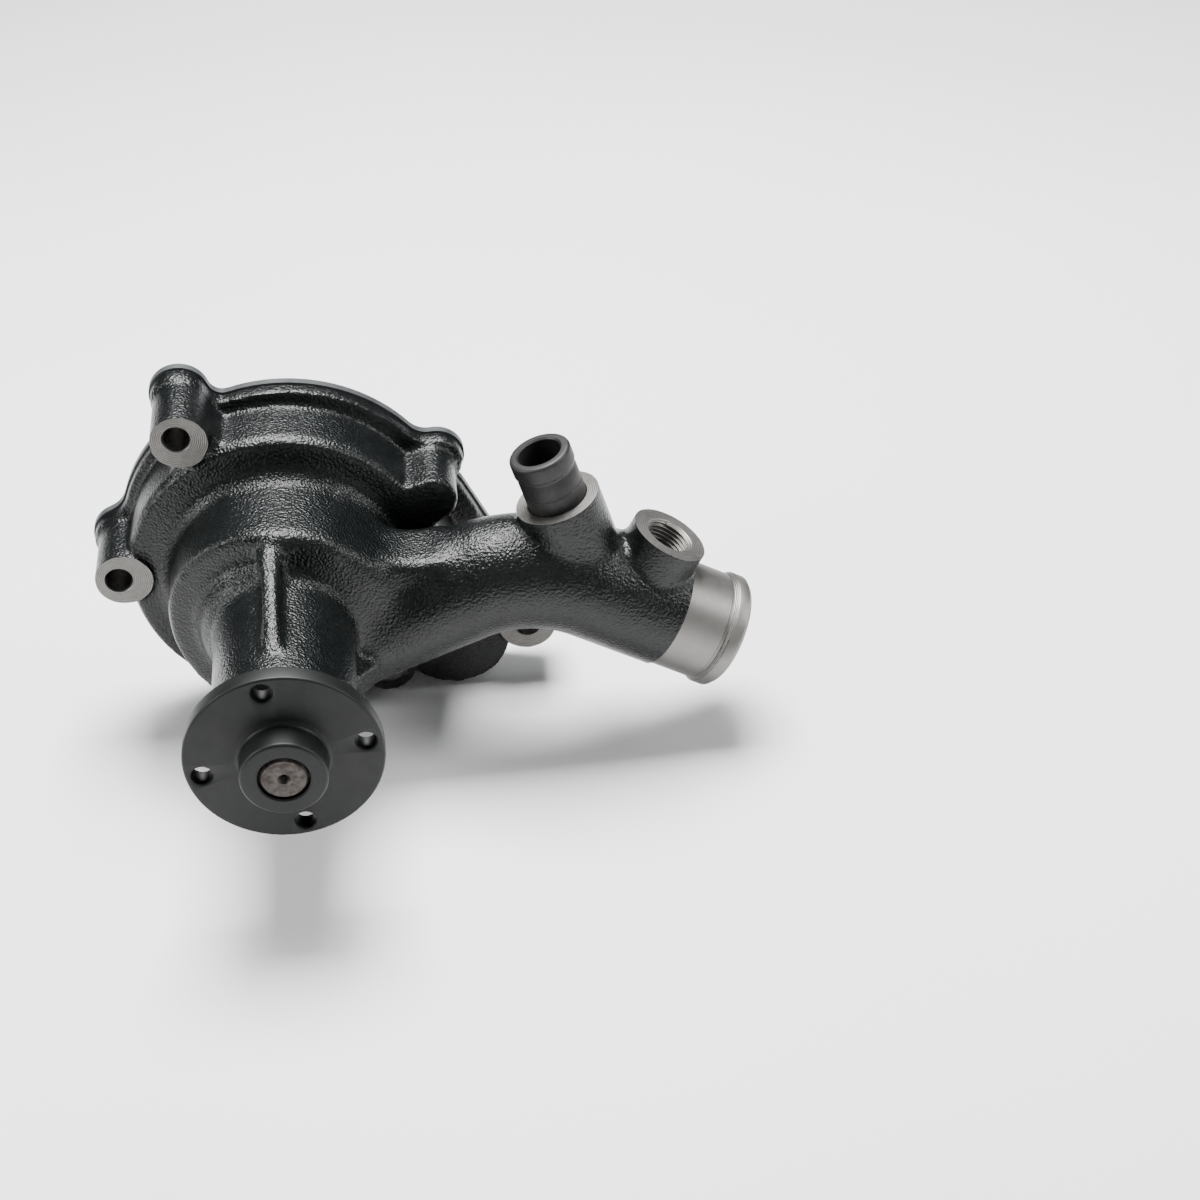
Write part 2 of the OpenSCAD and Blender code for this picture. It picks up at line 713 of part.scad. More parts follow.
pump_housing();
rear_cover();
cover_gasket();
cover_screws();
mounting_gasket();
bypass_tube();
bearing_circlip();
bearing_outer_ring();
front_bearing_seal();
rear_bearing_seal();
front_bearing_balls();
rear_bearing_balls();
front_ball_cage();
rear_ball_cage();
pump_shaft();
drive_hub();
slinger();
impeller();
mating_ring();
mating_ring_boot();
seal_shell();
seal_bellows();
seal_spring();
carbon_ring();
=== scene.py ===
import json
import math

import bmesh
import bpy
from mathutils import Euler, Matrix, Vector


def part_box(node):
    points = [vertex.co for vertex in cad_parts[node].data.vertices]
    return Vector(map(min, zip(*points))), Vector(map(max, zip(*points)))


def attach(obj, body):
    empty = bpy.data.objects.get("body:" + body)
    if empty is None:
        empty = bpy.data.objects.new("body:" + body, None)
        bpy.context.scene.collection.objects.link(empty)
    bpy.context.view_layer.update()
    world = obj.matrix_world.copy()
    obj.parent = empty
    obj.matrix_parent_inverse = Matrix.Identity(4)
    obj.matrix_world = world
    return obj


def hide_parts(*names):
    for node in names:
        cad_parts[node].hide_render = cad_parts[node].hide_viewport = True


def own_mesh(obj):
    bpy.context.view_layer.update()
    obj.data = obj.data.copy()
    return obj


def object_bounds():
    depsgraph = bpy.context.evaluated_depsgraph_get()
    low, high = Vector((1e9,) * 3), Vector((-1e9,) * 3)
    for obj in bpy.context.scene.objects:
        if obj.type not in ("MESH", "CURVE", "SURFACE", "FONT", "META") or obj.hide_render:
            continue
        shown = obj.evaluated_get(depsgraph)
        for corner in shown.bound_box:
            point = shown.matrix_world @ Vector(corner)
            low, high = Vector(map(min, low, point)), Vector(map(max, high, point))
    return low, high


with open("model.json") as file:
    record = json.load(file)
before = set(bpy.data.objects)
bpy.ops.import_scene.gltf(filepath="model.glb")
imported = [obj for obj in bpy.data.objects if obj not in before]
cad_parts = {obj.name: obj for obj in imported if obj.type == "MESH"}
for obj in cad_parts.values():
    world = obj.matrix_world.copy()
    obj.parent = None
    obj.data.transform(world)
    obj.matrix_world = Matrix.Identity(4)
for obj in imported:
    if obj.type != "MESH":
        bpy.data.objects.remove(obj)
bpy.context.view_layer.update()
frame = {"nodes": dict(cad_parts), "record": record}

MM = 0.001
BACK = Vector((0, 1, 0))
FRONT = Vector((0, -1, 0))
MOUNTS = {mount["name"]: mount for mount in frame["record"]["mounts"]}


# ---- Places and sizes --------------------------------------------------------


def place(name):
    return Vector(MOUNTS[name]["pos_m"])


def direction(name):
    return Vector(MOUNTS[name]["axis"]).normalized()


def radius(name):
    return MOUNTS[name]["dims"]["r_mm"]


def length(name):
    return MOUNTS[name]["dims"]["length_mm"]


# Heights are millimetres forward of the mounting face, along -Y.
BASE_H = -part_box("pump_housing")[1].y / MM
SNOUT_TOP_H = -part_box("pump_housing")[0].y / MM
BOSS_H = length("top_bolt_hole")
LUG_H = length("outer_port_bolt_hole")
STEP_H = 32.5
BEARING_H = -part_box("bearing_outer_ring")[1].y / MM
CHAMBER_H = BEARING_H - 7
BEARING_TOP_H = -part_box("bearing_outer_ring")[0].y / MM
SEAL_TOP_H = CHAMBER_H - 3
SEAL_SEAT_H = SEAL_TOP_H - 11.5
HUB_BACK_H = SNOUT_TOP_H + 3.8
HUB_FACE_H = HUB_BACK_H + 6.5
PILOT_TOP_H = -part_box("drive_hub")[0].y / MM

# Radii and lengths in millimetres
BEARING_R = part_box("bearing_outer_ring")[1].x / MM
SNOUT_R = BEARING_R + 4.95
DRUM_R = 40
HUB_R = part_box("drive_hub")[1].x / MM
PILOT_R = radius("pulley_pilot")
SHAFT_R = 7.96
SEAL_BORE_R = SHAFT_R + 10.29
BOLT_R = radius("top_bolt_hole")
BOSS_R = 10
PIPE_R = 20.5
BORE_R = 16
HOSE_END_R = 19.7
BEAD_R = radius("inlet_hose_bead")
HOSE_END_LEN = 24
TUBE_R = 10.5
TUBE_BORE_R = 7.6
TUBE_SINK = 14
SENSOR_MAJOR_R = 8.05

# Middles of the machined faces of the inlet, the bypass tube's seat and the sensor port
PIPE_END = place("inlet_hose_bead") + 3.6 * MM * direction("inlet_hose_bead")
TUBE_FACE = place("bypass_hose_collar") - 16.5 * MM * direction("bypass_hose_collar")
SENSOR_FACE = place("sensor_port") + length("sensor_port") / 2 * MM * direction("sensor_port")


def forward(point, height):
    """The point moved to a height forward of the mounting face."""
    return Vector((point.x, -height * MM, point.z))


def boss_centre(name):
    """The two tall bosses stand 1.5 mm closer to the shaft than their holes do."""
    hole = place(name)
    inward = Vector((hole.x, 0, hole.z)).normalized()
    return hole - 1.5 * MM * inward


# ---- Modelling helpers -------------------------------------------------------


def activate(piece):
    bpy.ops.object.select_all(action="DESELECT")
    piece.select_set(True)
    bpy.context.view_layer.objects.active = piece


def modify(piece, kind, **settings):
    """Adds a modifier and applies it."""
    activate(piece)
    modifier = piece.modifiers.new(kind.title(), kind)
    for key, value in settings.items():
        setattr(modifier, key, value)
    bpy.ops.object.modifier_apply(modifier=modifier.name)


def settle(piece, at, axis):
    """Turns a piece made along +Z to an axis, moves it to its place and applies both."""
    turn = Vector(axis).to_track_quat("Z", "Y").to_matrix().to_4x4()
    piece.matrix_world = Matrix.Translation(Vector(at)) @ turn
    activate(piece)
    bpy.ops.object.transform_apply(location=True, rotation=True, scale=True)
    return piece


def close(piece):
    activate(piece)
    bpy.ops.object.mode_set(mode="EDIT")
    bpy.ops.mesh.select_all(action="SELECT")
    bpy.ops.mesh.remove_doubles(threshold=0.002 * MM)
    bpy.ops.mesh.normals_make_consistent(inside=False)
    bpy.ops.object.mode_set(mode="OBJECT")


def turned(name, profile, at=(0, 0, 0), axis=FRONT, sides=96, hollow=False):
    """Turns a profile of (radius, height) points in millimetres, ring by ring.
    A hollow profile is a closed loop; a solid one runs from one flat end to the other."""
    r, h = profile[0]
    bpy.ops.object.select_all(action="DESELECT")
    bpy.ops.mesh.primitive_circle_add(
        vertices=sides,
        radius=r * MM,
        fill_type="NOTHING" if hollow else "NGON",
        location=(0, 0, h * MM),
    )
    piece = bpy.context.object
    piece.name = piece.data.name = name
    bpy.ops.object.transform_apply(location=True)
    bpy.ops.object.mode_set(mode="EDIT")
    bpy.ops.mesh.select_mode(type="VERT")
    bpy.ops.mesh.select_all(action="SELECT")
    for r_next, h_next in profile[1:] + (profile[:1] if hollow else []):
        bpy.ops.mesh.extrude_region_move(
            TRANSFORM_OT_translate={"value": (0, 0, (h_next - h) * MM)}
        )
        scale = r_next / r
        bpy.ops.transform.resize(value=(scale, scale, 1), center_override=(0, 0, h_next * MM))
        r, h = r_next, h_next
    bpy.ops.object.mode_set(mode="OBJECT")
    close(piece)
    return settle(piece, at, axis)


def arc(centre_r, centre_h, r, start, stop, steps=6):
    """Profile points along an arc, in degrees from the radius direction."""
    angles = [math.radians(start + (stop - start) * k / steps) for k in range(steps + 1)]
    return [(centre_r + r * math.cos(a), centre_h + r * math.sin(a)) for a in angles]


def copy_of(node):
    """A merged copy of a CAD node."""
    activate(frame["nodes"][node])
    bpy.ops.object.duplicate()
    piece = bpy.context.object
    bpy.ops.object.mode_set(mode="EDIT")
    bpy.ops.mesh.select_all(action="SELECT")
    bpy.ops.mesh.remove_doubles(threshold=0.001 * MM)
    bpy.ops.object.mode_set(mode="OBJECT")
    return piece


def join(pieces):
    activate(pieces[0])
    for piece in pieces[1:]:
        piece.select_set(True)
    bpy.ops.object.join()
    return pieces[0]


def pick(piece, test):
    """Selects, in edit mode, the faces whose centre and normal pass a test."""
    shape = bmesh.from_edit_mesh(piece.data)
    for face in shape.faces:
        face.select_set(False)
    found = [face for face in shape.faces if test(face.calc_center_median(), face.normal)]
    for face in found:
        face.select_set(True)
    bmesh.update_edit_mesh(piece.data)
    return len(found)


def stock(piece, face, axis, reach, allowance):
    """Leaves metal to be machined: a flat face within reach of a point moves out along its axis."""
    activate(piece)
    bpy.ops.object.mode_set(mode="EDIT")
    bpy.ops.mesh.select_mode(type="FACE")

    def on_face(centre, normal):
        off = (centre - face).dot(axis)
        return abs(off) < 0.05 * MM and normal.dot(axis) > 0.99 and (centre - face).length < reach * MM

    if pick(piece, on_face):
        bpy.ops.mesh.extrude_region_move(
            TRANSFORM_OT_translate={"value": axis * allowance * MM}
        )
    bpy.ops.object.mode_set(mode="OBJECT")


def machine(piece, cutters):
    """Cuts the piece with each cutter, which leaves its own finish on the faces that it makes."""
    for cutter in cutters:
        modify(
            piece,
            "BOOLEAN",
            operation="DIFFERENCE",
            solver="EXACT",
            object=cutter,
            material_mode="TRANSFER",
        )
        bpy.data.objects.remove(cutter)


def soften(piece, test, repeat):
    """Rounds the casting where its points pass a test."""
    activate(piece)
    bpy.ops.object.mode_set(mode="EDIT")
    bpy.ops.mesh.select_mode(type="VERT")
    bpy.ops.mesh.select_all(action="DESELECT")
    shape = bmesh.from_edit_mesh(piece.data)
    for point in shape.verts:
        point.select_set(test(point.co))
    bmesh.update_edit_mesh(piece.data)
    bpy.ops.mesh.vertices_smooth(factor=0.5, repeat=repeat)
    bpy.ops.object.mode_set(mode="OBJECT")


def shade(piece, degrees=35):
    activate(piece)
    bpy.ops.object.shade_smooth_by_angle(angle=math.radians(degrees))


def paint(piece, *finishes):
    piece.data.materials.clear()
    for finish in finishes:
        piece.data.materials.append(finish)


def finished(piece, body, finish, replaced=(), degrees=35):
    if finish:
        paint(piece, finish)
    shade(piece, degrees)
    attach(piece, body)
    if replaced:
        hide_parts(*replaced)
    return piece


# ---- Materials ---------------------------------------------------------------


def srgb(code):
    """An sRGB hex colour as the linear colour that a shader takes."""
    parts = [int(code[k : k + 2], 16) / 255 for k in (1, 3, 5)]
    linear = [p / 12.92 if p <= 0.04045 else ((p + 0.055) / 1.055) ** 2.4 for p in parts]
    return (*linear, 1)


def add(tree, kind, links=None, **settings):
    """Adds a shader node with its settings. Each link sets an input to a value, or joins it to a
    socket or to another node's first output."""
    made = tree.nodes.new("ShaderNode" + kind)
    for key, value in settings.items():
        setattr(made, key, value)
    for key, value in (links or {}).items():
        if isinstance(value, bpy.types.Node):
            value = next(socket for socket in value.outputs if socket.enabled)
        if isinstance(value, bpy.types.NodeSocket):
            tree.links.new(value, made.inputs[key])
        else:
            made.inputs[key].default_value = value
    return made


def new_finish(name, **sockets):
    """A new material with its shader's plain sockets set. Returns it, its tree and its places."""
    made = bpy.data.materials.new(name)
    made.use_nodes = True
    shader = made.node_tree.nodes["Principled BSDF"]
    for key, value in sockets.items():
        shader.inputs[key.replace("_", " ")].default_value = value
    where = add(made.node_tree, "TexCoord").outputs["Object"]
    return made, made.node_tree, where


def feed(tree, **sources):
    """Joins sockets of the shader to nodes that vary over the surface."""
    shader = tree.nodes["Principled BSDF"]
    for key, node in sources.items():
        source = next(socket for socket in node.outputs if socket.enabled)
        tree.links.new(source, shader.inputs[key.replace("_", " ")])


def per(size):
    """The scale of a pattern whose features are about size millimetres across."""
    return 1 / (size * MM)


def turning_marks(tree, where, centre, axis, pitch, wobble=0.6):
    """Rings about an axis, pitch millimetres apart, as a turning or facing tool leaves them."""
    turn = Vector(axis).to_track_quat("Z", "Y").to_euler()
    about_axis = add(
        tree,
        "Mapping",
        {"Vector": where, "Location": centre, "Rotation": turn},
        vector_type="TEXTURE",
    )
    ring_scale = 2 * math.pi / 20 * per(pitch)
    marks = {
        "Vector": about_axis,
        "Scale": ring_scale,
        "Distortion": wobble,
        "Detail": 2.0,
        "Detail Scale": 1.5,
    }
    return add(tree, "TexWave", marks, wave_type="RINGS", rings_direction="Z").outputs["Fac"]


def black_paint_on_cast_iron():
    """Gloss black enamel sprayed over sand-cast iron: the grain of the sand, under a millimetre
    across, breaks the gloss into specks. The film is thin, so its index is lower than enamel's."""
    made, tree, where = new_finish("black paint on sand-cast iron", IOR=1.38)
    sand_look = {"Vector": where, "Scale": per(1.0), "Smoothness": 0.3, "Randomness": 1.0}
    sand = add(tree, "TexVoronoi", sand_look, feature="SMOOTH_F1").outputs["Distance"]
    grit = add(tree, "TexNoise", {"Vector": where, "Scale": per(0.8), "Detail": 2.0})
    film = add(tree, "TexNoise", {"Vector": where, "Scale": per(7), "Detail": 2.0})
    stain = add(tree, "TexNoise", {"Vector": where, "Scale": per(5), "Detail": 6.0})
    tint = add(tree, "MapRange", {"Value": stain, "From Min": 0.35, "From Max": 0.65})
    shades = {"Factor": tint, "A": srgb("#040606"), "B": srgb("#090c0c")}
    colour = add(tree, "Mix", shades, data_type="RGBA")
    gloss = add(tree, "MapRange", {"Value": film, "To Min": 0.24, "To Max": 0.36})
    dimples = add(tree, "Bump", {"Height": sand, "Distance": 0.28 * MM, "Strength": 0.7})
    pits = {"Height": grit, "Distance": 0.3 * MM, "Strength": 0.9, "Normal": dimples}
    feed(tree, Base_Color=colour, Roughness=gloss, Normal=add(tree, "Bump", pits))
    return made


def machined_iron(name, centre, axis, pitch=0.7):
    """Grey iron cut bright on a lathe or mill: rings about the tool's axis over the metal's cloudy
    grey. The rings are drawn coarser than a real cut so that they show."""
    made, tree, where = new_finish(name, Metallic=1.0)
    cut = turning_marks(tree, where, centre, axis, pitch)
    cloud = add(tree, "TexNoise", {"Vector": where, "Scale": per(1.5), "Detail": 5.0})
    both = add(tree, "Math", {0: cut, 1: cloud}, operation="ADD")
    tint = add(tree, "MapRange", {"Value": both, "From Min": 0.5, "From Max": 1.0})
    shades = {"Factor": tint, "A": srgb("#575653"), "B": srgb("#7d7b78")}
    colour = add(tree, "Mix", shades, data_type="RGBA")
    wear = add(tree, "TexNoise", {"Vector": where, "Scale": per(3), "Detail": 2.0})
    gloss = add(tree, "MapRange", {"Value": wear, "To Min": 0.42, "To Max": 0.58})
    ridges = add(tree, "Bump", {"Height": cut, "Distance": 0.09 * MM, "Strength": 0.7})
    freckles = add(tree, "TexNoise", {"Vector": where, "Scale": per(0.6), "Detail": 2.0})
    pores = {"Height": freckles, "Distance": 0.02 * MM, "Strength": 0.2, "Normal": ridges}
    feed(tree, Base_Color=colour, Roughness=gloss, Normal=add(tree, "Bump", pores))
    return made


def black_oxide_steel():
    """Turned steel, chemically blackened and oiled: a thin matt film with a green cast, and faint
    lathe rings under it."""
    made, tree, where = new_finish("black-oxide turned steel", Specular_IOR_Level=0.28)
    bath = add(tree, "TexNoise", {"Vector": where, "Scale": per(4), "Detail": 5.0})
    tint = add(tree, "MapRange", {"Value": bath, "From Min": 0.35, "From Max": 0.65})
    shades = {"Factor": tint, "A": srgb("#040606"), "B": srgb("#080b0a")}
    colour = add(tree, "Mix", shades, data_type="RGBA")
    oil = add(tree, "TexNoise", {"Vector": where, "Scale": per(6), "Detail": 4.0})
    gloss = add(tree, "MapRange", {"Value": oil, "To Min": 0.42, "To Max": 0.58})
    cut = turning_marks(tree, where, (0, 0, 0), BACK, 0.9, 0.2)
    ridges = add(tree, "Bump", {"Height": cut, "Distance": 0.012 * MM, "Strength": 0.4})
    skin = add(tree, "TexNoise", {"Vector": where, "Scale": per(0.5), "Detail": 2.0})
    etch = {"Height": skin, "Distance": 0.015 * MM, "Strength": 0.4, "Normal": ridges}
    feed(tree, Base_Color=colour, Roughness=gloss, Normal=add(tree, "Bump", etch))
    return made


def phosphated_steel(name, low, high, grain=0.6):
    """Steel with a manganese phosphate coat: a dry, dark, crystalline grey with paler rub marks."""
    made, tree, where = new_finish(name, Metallic=0.25)
    rub_look = {"Vector": where, "Scale": per(7), "Detail": 7.0, "Roughness": 0.7}
    rub = add(tree, "TexNoise", rub_look)
    tint = add(tree, "MapRange", {"Value": rub, "From Min": 0.35, "From Max": 0.65})
    shades = {"Factor": tint, "A": srgb(low), "B": srgb(high)}
    colour = add(tree, "Mix", shades, data_type="RGBA")
    gloss = add(tree, "MapRange", {"Value": rub, "To Min": 0.6, "To Max": 0.42})
    crystals = add(tree, "TexNoise", {"Vector": where, "Scale": per(grain), "Detail": 3.0})
    coat = add(tree, "Bump", {"Height": crystals, "Distance": 0.03 * MM, "Strength": 0.5})
    feed(tree, Base_Color=colour, Roughness=gloss, Normal=coat)
    return made


def ground_steel(name, low, high, pitch=0.5, rough=(0.22, 0.38)):
    """Steel turned or ground about the shaft: an even metal sheen, with fine rings."""
    made, tree, where = new_finish(name, Metallic=1.0)
    grain = add(tree, "TexNoise", {"Vector": where, "Scale": per(2), "Detail": 4.0})
    tint = add(tree, "MapRange", {"Value": grain, "From Min": 0.35, "From Max": 0.65})
    shades = {"Factor": tint, "A": srgb(low), "B": srgb(high)}
    colour = add(tree, "Mix", shades, data_type="RGBA")
    wear = add(tree, "TexNoise", {"Vector": where, "Scale": per(1.5), "Detail": 3.0})
    gloss = add(tree, "MapRange", {"Value": wear, "To Min": rough[0], "To Max": rough[1]})
    cut = turning_marks(tree, where, (0, 0, 0), BACK, pitch)
    ridges = add(tree, "Bump", {"Height": cut, "Distance": 0.02 * MM, "Strength": 0.4})
    feed(tree, Base_Color=colour, Roughness=gloss, Normal=ridges)
    return made


def gasket_paper():
    """Pressed fibre sheet: pale blue-grey, mottled by short fibres, with a darker cut edge."""
    made, tree, where = new_finish("compressed fibre gasket paper", Roughness=0.92, IOR=1.45)
    fibre_look = {"Vector": where, "Scale": per(3.0), "Detail": 9.0, "Roughness": 0.8}
    fibres = add(tree, "TexNoise", fibre_look)
    tint = add(tree, "MapRange", {"Value": fibres, "From Min": 0.4, "From Max": 0.6})
    shades = {"Factor": tint, "A": srgb("#6f7a7f"), "B": srgb("#a6afb2")}
    face = add(tree, "Mix", shades, data_type="RGBA").outputs["Result"]
    normal = add(tree, "NewGeometry").outputs["Normal"]
    side_on = add(tree, "SeparateXYZ", {"Vector": normal}).outputs["Y"]
    flat = add(tree, "Math", {0: side_on}, operation="ABSOLUTE")
    sheet = {"Factor": flat, "A": srgb("#3f4648"), "B": face}
    colour = add(tree, "Mix", sheet, data_type="RGBA")
    felt = add(tree, "Bump", {"Height": fibres, "Distance": 0.06 * MM, "Strength": 0.5})
    nap = add(tree, "TexNoise", {"Vector": where, "Scale": per(0.6), "Detail": 3.0})
    fuzz = {"Height": nap, "Distance": 0.04 * MM, "Strength": 0.5, "Normal": felt}
    feed(tree, Base_Color=colour, Normal=add(tree, "Bump", fuzz))
    return made


def plain_finish(name, low, high, rough, grain, depth, cloudy, wear_size, spread, **sockets):
    """A finish with one colour and a light texture: rough is its roughness, which varies by the
    share spread over patches of wear_size, and grain and depth are the size and depth of its
    texture, all in millimetres. cloudy is the number of octaves in its colour."""
    made, tree, where = new_finish(name, **sockets)
    cloud = add(tree, "TexNoise", {"Vector": where, "Scale": per(grain * 4), "Detail": cloudy})
    tint = add(tree, "MapRange", {"Value": cloud, "From Min": 0.35, "From Max": 0.65})
    shades = {"Factor": tint, "A": srgb(low), "B": srgb(high)}
    colour = add(tree, "Mix", shades, data_type="RGBA")
    wear = add(tree, "TexNoise", {"Vector": where, "Scale": per(wear_size), "Detail": 2.0})
    smoother = rough * (1 - spread)
    duller = min(rough * (1 + spread), 1)
    gloss = add(tree, "MapRange", {"Value": wear, "To Min": smoother, "To Max": duller})
    skin = add(tree, "TexNoise", {"Vector": where, "Scale": per(grain), "Detail": 3.0})
    texture = add(tree, "Bump", {"Height": skin, "Distance": depth * MM, "Strength": 0.5})
    feed(tree, Base_Color=colour, Roughness=gloss, Normal=texture)
    return made


def bare_metal(name, low, high, rough, grain, depth):
    """Bare or plated metal with a light surface texture."""
    return plain_finish(name, low, high, rough, grain, depth, 5.0, grain * 5, 0.2, Metallic=1.0)


def moulded(name, low, high, rough, grain, depth):
    """A moulded or sintered piece: even colour with a soft skin texture."""
    return plain_finish(name, low, high, rough, grain, depth, 4.0, grain * 6, 0.15, IOR=1.5)


def white_card():
    """Matt white card for the floor: almost without gloss, and a little uneven in its white."""
    made, tree, where = new_finish("matt white card", Roughness=0.9, IOR=1.4)
    patches = add(tree, "TexNoise", {"Vector": where, "Scale": per(400), "Detail": 2.0})
    tint = add(tree, "MapRange", {"Value": patches, "From Min": 0.35, "From Max": 0.65})
    shades = {"Factor": tint, "A": srgb("#e9eaea"), "B": srgb("#efefef")}
    feed(tree, Base_Color=add(tree, "Mix", shades, data_type="RGBA"))
    return made


PAINT = black_paint_on_cast_iron()
BLACK_OXIDE = black_oxide_steel()
PHOSPHATE = phosphated_steel("manganese phosphated steel tube", "#121213", "#212120")
COVER_STEEL = phosphated_steel("phosphated steel sheet", "#303233", "#474a4b", 0.9)
GASKET = gasket_paper()
# The shaft's end is left bare, so it has gone brown and dull.
SHAFT_STEEL = ground_steel("turned and ground shaft steel", "#35312f", "#4c4846", 0.9, (0.38, 0.55))
RING_STEEL = ground_steel("ground bearing steel", "#8f9092", "#b2b3b5")
# Balls are lapped until they mirror what is round them.
BALL_STEEL = bare_metal("lapped ball steel", "#b5b8bc", "#cfd1d4", 0.12, 1.0, 0.003)
# Heat treatment leaves spring wire blue-black.
SPRING_STEEL = bare_metal("blued spring steel", "#2b2e35", "#474a50", 0.35, 0.6, 0.01)
# Zinc plate is bright with a soft crystalline bloom.
ZINC = bare_metal("zinc-plated steel", "#9fa3a6", "#c3c6c8", 0.32, 0.8, 0.015)
# A drawn brass cup is smooth and yellow.
BRASS = bare_metal("drawn brass", "#a4813c", "#c49f55", 0.28, 0.8, 0.01)
# The impeller is left as it leaves the sand: dark, dull and rough.
RAW_IRON = bare_metal("bare sand-cast iron", "#3c3b3a", "#555452", 0.6, 1.3, 0.15)
# Glass-filled nylon is amber and slightly matt from its fibres.
NYLON = moulded("glass-filled nylon", "#66563a", "#75643f", 0.5, 0.5, 0.02)
# Moulded rubber is black and satin.
RUBBER = moulded("nitrile rubber", "#131415", "#1d1e20", 0.62, 0.5, 0.02)
# Lapped alumina is ivory and close to polished.
CERAMIC = moulded("lapped alumina", "#d9d3c2", "#e6e1d2", 0.18, 0.4, 0.004)
# Lapped carbon is grey-black with a pencil-lead sheen.
CARBON = moulded("lapped carbon graphite", "#1a1a1c", "#28282a", 0.4, 0.4, 0.01)
FLOOR = white_card()


# ---- Camera, light and floor ---------------------------------------------------

# The camera stands above and in front of the hub, a little to its right.
CAMERA_AT = Vector((0.0637, -0.7377, 0.4868))
CAMERA_DOWN = 35.95
CAMERA_RIGHT = 3.85
CAMERA_ROLL = -3.41
CAMERA_LENS = 72


def camera():
    """The camera, turned by its angles down and to the right, then rolled."""
    bpy.ops.object.select_all(action="DESELECT")
    bpy.ops.object.camera_add(location=CAMERA_AT)
    made = bpy.context.object
    look = Euler((math.radians(90 - CAMERA_DOWN), 0, math.radians(-CAMERA_RIGHT))).to_matrix()
    roll = Matrix.Rotation(math.radians(CAMERA_ROLL), 3, "Z")
    made.rotation_euler = (look @ roll).to_euler()
    made.data.sensor_width = 36
    made.data.lens = CAMERA_LENS
    bpy.context.scene.camera = made


def soft_light(name, at, target, size, watts):
    """A square softbox aimed at a point."""
    bpy.ops.object.light_add(type="AREA", location=at)
    lamp = bpy.context.object
    lamp.name = name
    lamp.data.shape = "SQUARE"
    lamp.data.size = size
    lamp.data.energy = watts
    lamp.rotation_euler = (Vector(target) - Vector(at)).to_track_quat("-Z", "Y").to_euler()


def studio():
    """Four softboxes, a dim pale world and a white floor under the pump."""
    target = (0.04, -0.06, 0.0)
    soft_light("overhead softbox", (0.05, 0.22, 0.95), target, 0.55, 44)
    soft_light("left softbox", (-0.95, -0.2, 0.5), target, 0.35, 9)
    soft_light("right softbox", (1.0, -0.25, 0.6), target, 0.35, 8)
    soft_light("front fill", (0.1, -1.3, 0.9), target, 0.5, 2)
    world = bpy.data.worlds.new("pale studio")
    world.use_nodes = True
    world.node_tree.nodes["Background"].inputs["Color"].default_value = srgb("#e8ebee")
    world.node_tree.nodes["Background"].inputs["Strength"].default_value = 0.12
    bpy.context.scene.world = world
    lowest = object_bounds()[0].z
    bpy.ops.object.select_all(action="DESELECT")
    bpy.ops.mesh.primitive_circle_add(vertices=96, radius=6, fill_type="NGON", location=(0, 0, lowest))
    floor = bpy.context.object
    floor.name = "floor"
    paint(floor, FLOOR)


camera()
studio()


# ---- Housing -------------------------------------------------------------------

# The grid that the rough casting is rebuilt on, the metal left for machining, and how far a
# cutter clears it.
VOXEL = 1.15
ALLOWANCE = 2.2
CLEAR = ALLOWANCE + 1.5


def rough_hose_end():
    """Metal left on the hose end, for turning: a tube to the pipe's size, thicker at the bead."""
    inner = BORE_R + 1
    outer = BEAD_R + 0.9
    back = -HOSE_END_LEN + 0.4
    profile = [(inner, back), (PIPE_R, back), (PIPE_R, -7.5), (outer, -7)]
    return turned(
        "rough hose end",
        profile + [(outer, ALLOWANCE), (inner, ALLOWANCE)],
        PIPE_END,
        direction("inlet_hose_bead"),
        hollow=True,
    )


def hole_plugs():
    """A sand casting has no holes for the bolts, the tube and the sensor: they are drilled later."""
    plugs = []
    for name, top in (
        ("top_bolt_hole", BOSS_H),
        ("left_bolt_hole", BOSS_H),
        ("inner_port_bolt_hole", LUG_H),
        ("outer_port_bolt_hole", LUG_H),
    ):
        profile = [(BOLT_R + 1, BASE_H - 1), (BOLT_R + 1, top)]
        plugs.append(turned("bolt hole plug", profile, forward(place(name), 0)))
    tube = [(TUBE_R + 1, -18), (TUBE_R + 1, ALLOWANCE)]
    plugs.append(turned("tube plug", tube, TUBE_FACE, direction("bypass_hose_collar")))
    sensor = [(SENSOR_MAJOR_R + 0.95, -12), (SENSOR_MAJOR_R + 0.95, ALLOWANCE)]
    plugs.append(turned("sensor plug", sensor, SENSOR_FACE, direction("sensor_port")))
    return plugs


def drum_root():
    """The sweep of metal between the step face and the round wall of the suction chamber."""
    sweep = 7
    profile = [(DRUM_R - 3, STEP_H - 1), (DRUM_R + sweep, STEP_H - 1)]
    profile += arc(DRUM_R + sweep, STEP_H + sweep, sweep, 270, 180)
    return turned("drum root", profile + [(DRUM_R - 3, STEP_H + sweep)], hollow=True)


